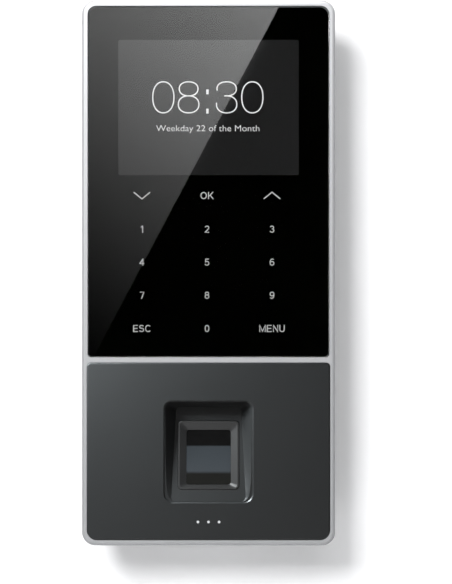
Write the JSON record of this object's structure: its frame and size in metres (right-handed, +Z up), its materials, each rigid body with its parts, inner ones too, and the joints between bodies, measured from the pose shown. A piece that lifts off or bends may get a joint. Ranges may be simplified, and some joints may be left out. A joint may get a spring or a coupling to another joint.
{
  "type": "fingerprint scanner terminal",
  "caption": "Wall-mounted fingerprint time terminal: glass window with display and touch keys over a tilted finger rest with an optical sensor, hung on a hooked steel bracket.",
  "frame": {"origin": "centre of the wall bracket's rear face, on the wall, at the middle of the terminal and of the four wall screw holes", "axes": "+X right as seen from the front, +Y into the wall, +Z up; the display faces -Y"},
  "size_m": [0.0984, 0.0364, 0.212],
  "materials": {
    "frame_paint": "satin silver paint",
    "panel_black": "fine-textured black plastic",
    "housing_black": "spark-eroded black plastic",
    "window_glass": "clear polished glass",
    "film_black": "black print on a clear film, legends left clear",
    "adhesive": "black foam tape",
    "display": "lit dark grey display",
    "backlight": "white tray",
    "board_green": "solder mask",
    "board_black": "black solder mask",
    "chip_black": "moulded epoxy",
    "connector_white": "moulded nylon",
    "zinc_steel": "zinc-plated sheet",
    "bright_steel": "bright plated",
    "screw_steel": "zinc-plated",
    "brass": "turned",
    "gold": "gold-plated contacts",
    "can_tin": "tinned sheet",
    "flex_amber": "polyimide flex",
    "ribbon_grey": "flat cable",
    "label_white": "blank polyester label",
    "bezel_black": "polished black plastic",
    "prism_glass": "polished optical glass",
    "lens_glass": "small lens",
    "sensor_black": "black housing",
    "lamp_white": "milky light pipe, lit white",
    "spring_steel": "spring wire",
    "white_plastic": "white plunger",
    "cone_paper": "cone",
    "coin_steel": "cell can",
    "ferrite": "ferrite"
  },
  "bodies": {
    "wall_bracket": {"wall_bracket": "zinc_steel"},
    "lock_screw": {"lock_screw": "screw_steel"},
    "terminal": {"lock_insert": "brass", "rear_housing": "housing_black", "front_frame": "frame_paint", "touch_window": "window_glass", "legend_film": "film_black", "window_adhesive": "adhesive", "display_glass": "display", "display_backlight": "backlight", "touch_key_board": "board_black", "touch_pads": "gold", "touch_controller": "chip_black", "touch_flex": "flex_amber", "chassis": "zinc_steel", "main_board": "board_green", "housing_screws": "screw_steel", "board_screws": "screw_steel", "processor": "chip_black", "memory_chips": "chip_black", "shield_can": "can_tin", "capacitors": "chip_black", "inductor": "ferrite", "board_connectors": "connector_white", "display_flex": "flex_amber", "cell_holder": "chip_black", "coin_cell": "coin_steel", "ethernet_jack": "bright_steel", "ethernet_contacts": "gold", "power_jack": "chip_black", "power_pin": "bright_steel", "rating_label": "label_white", "tamper_switch": "chip_black", "tamper_spring": "spring_steel", "reset_switch": "bright_steel", "lower_panel": "panel_black", "sensor_bezel": "bezel_black", "sensor_prism": "prism_glass", "sensor_housing": "sensor_black", "sensor_gasket": "adhesive", "sensor_lens": "lens_glass", "sensor_lights": "lamp_white", "sensor_board": "board_green", "sensor_cable": "ribbon_grey", "light_guide": "lamp_white", "indicator_board": "board_green", "indicator_lights": "lamp_white", "card_antenna": "board_green", "radio_antenna": "board_green", "speaker_basket": "screw_steel", "speaker_cone": "cone_paper", "service_port": "bright_steel", "port_tongue": "chip_black", "port_board": "board_green"},
    "tamper_plunger": {"tamper_plunger": "white_plastic"},
    "reset_button": {"reset_button": "white_plastic"}
  },
  "joints": [
    {"name": "terminal_lift", "type": "slide", "parent": "wall_bracket", "child": "terminal", "axis": [0, 0, 1], "range_m": [0, 0.007]},
    {"name": "lock_screw_out", "type": "slide", "parent": "wall_bracket", "child": "lock_screw", "axis": [0, 0, -1], "range_m": [0, 0.0065]},
    {"name": "tamper_press", "type": "slide", "parent": "terminal", "child": "tamper_plunger", "axis": [0, -1, 0], "range_m": [0, 0.0008], "stiffness_N_per_m": 150, "springref_m": -0.001, "deforming": ["tamper_spring"]},
    {"name": "reset_press", "type": "slide", "parent": "terminal", "child": "reset_button", "axis": [0, -1, 0], "range_m": [0, 0.00025], "stiffness_N_per_m": 800}
  ]
}
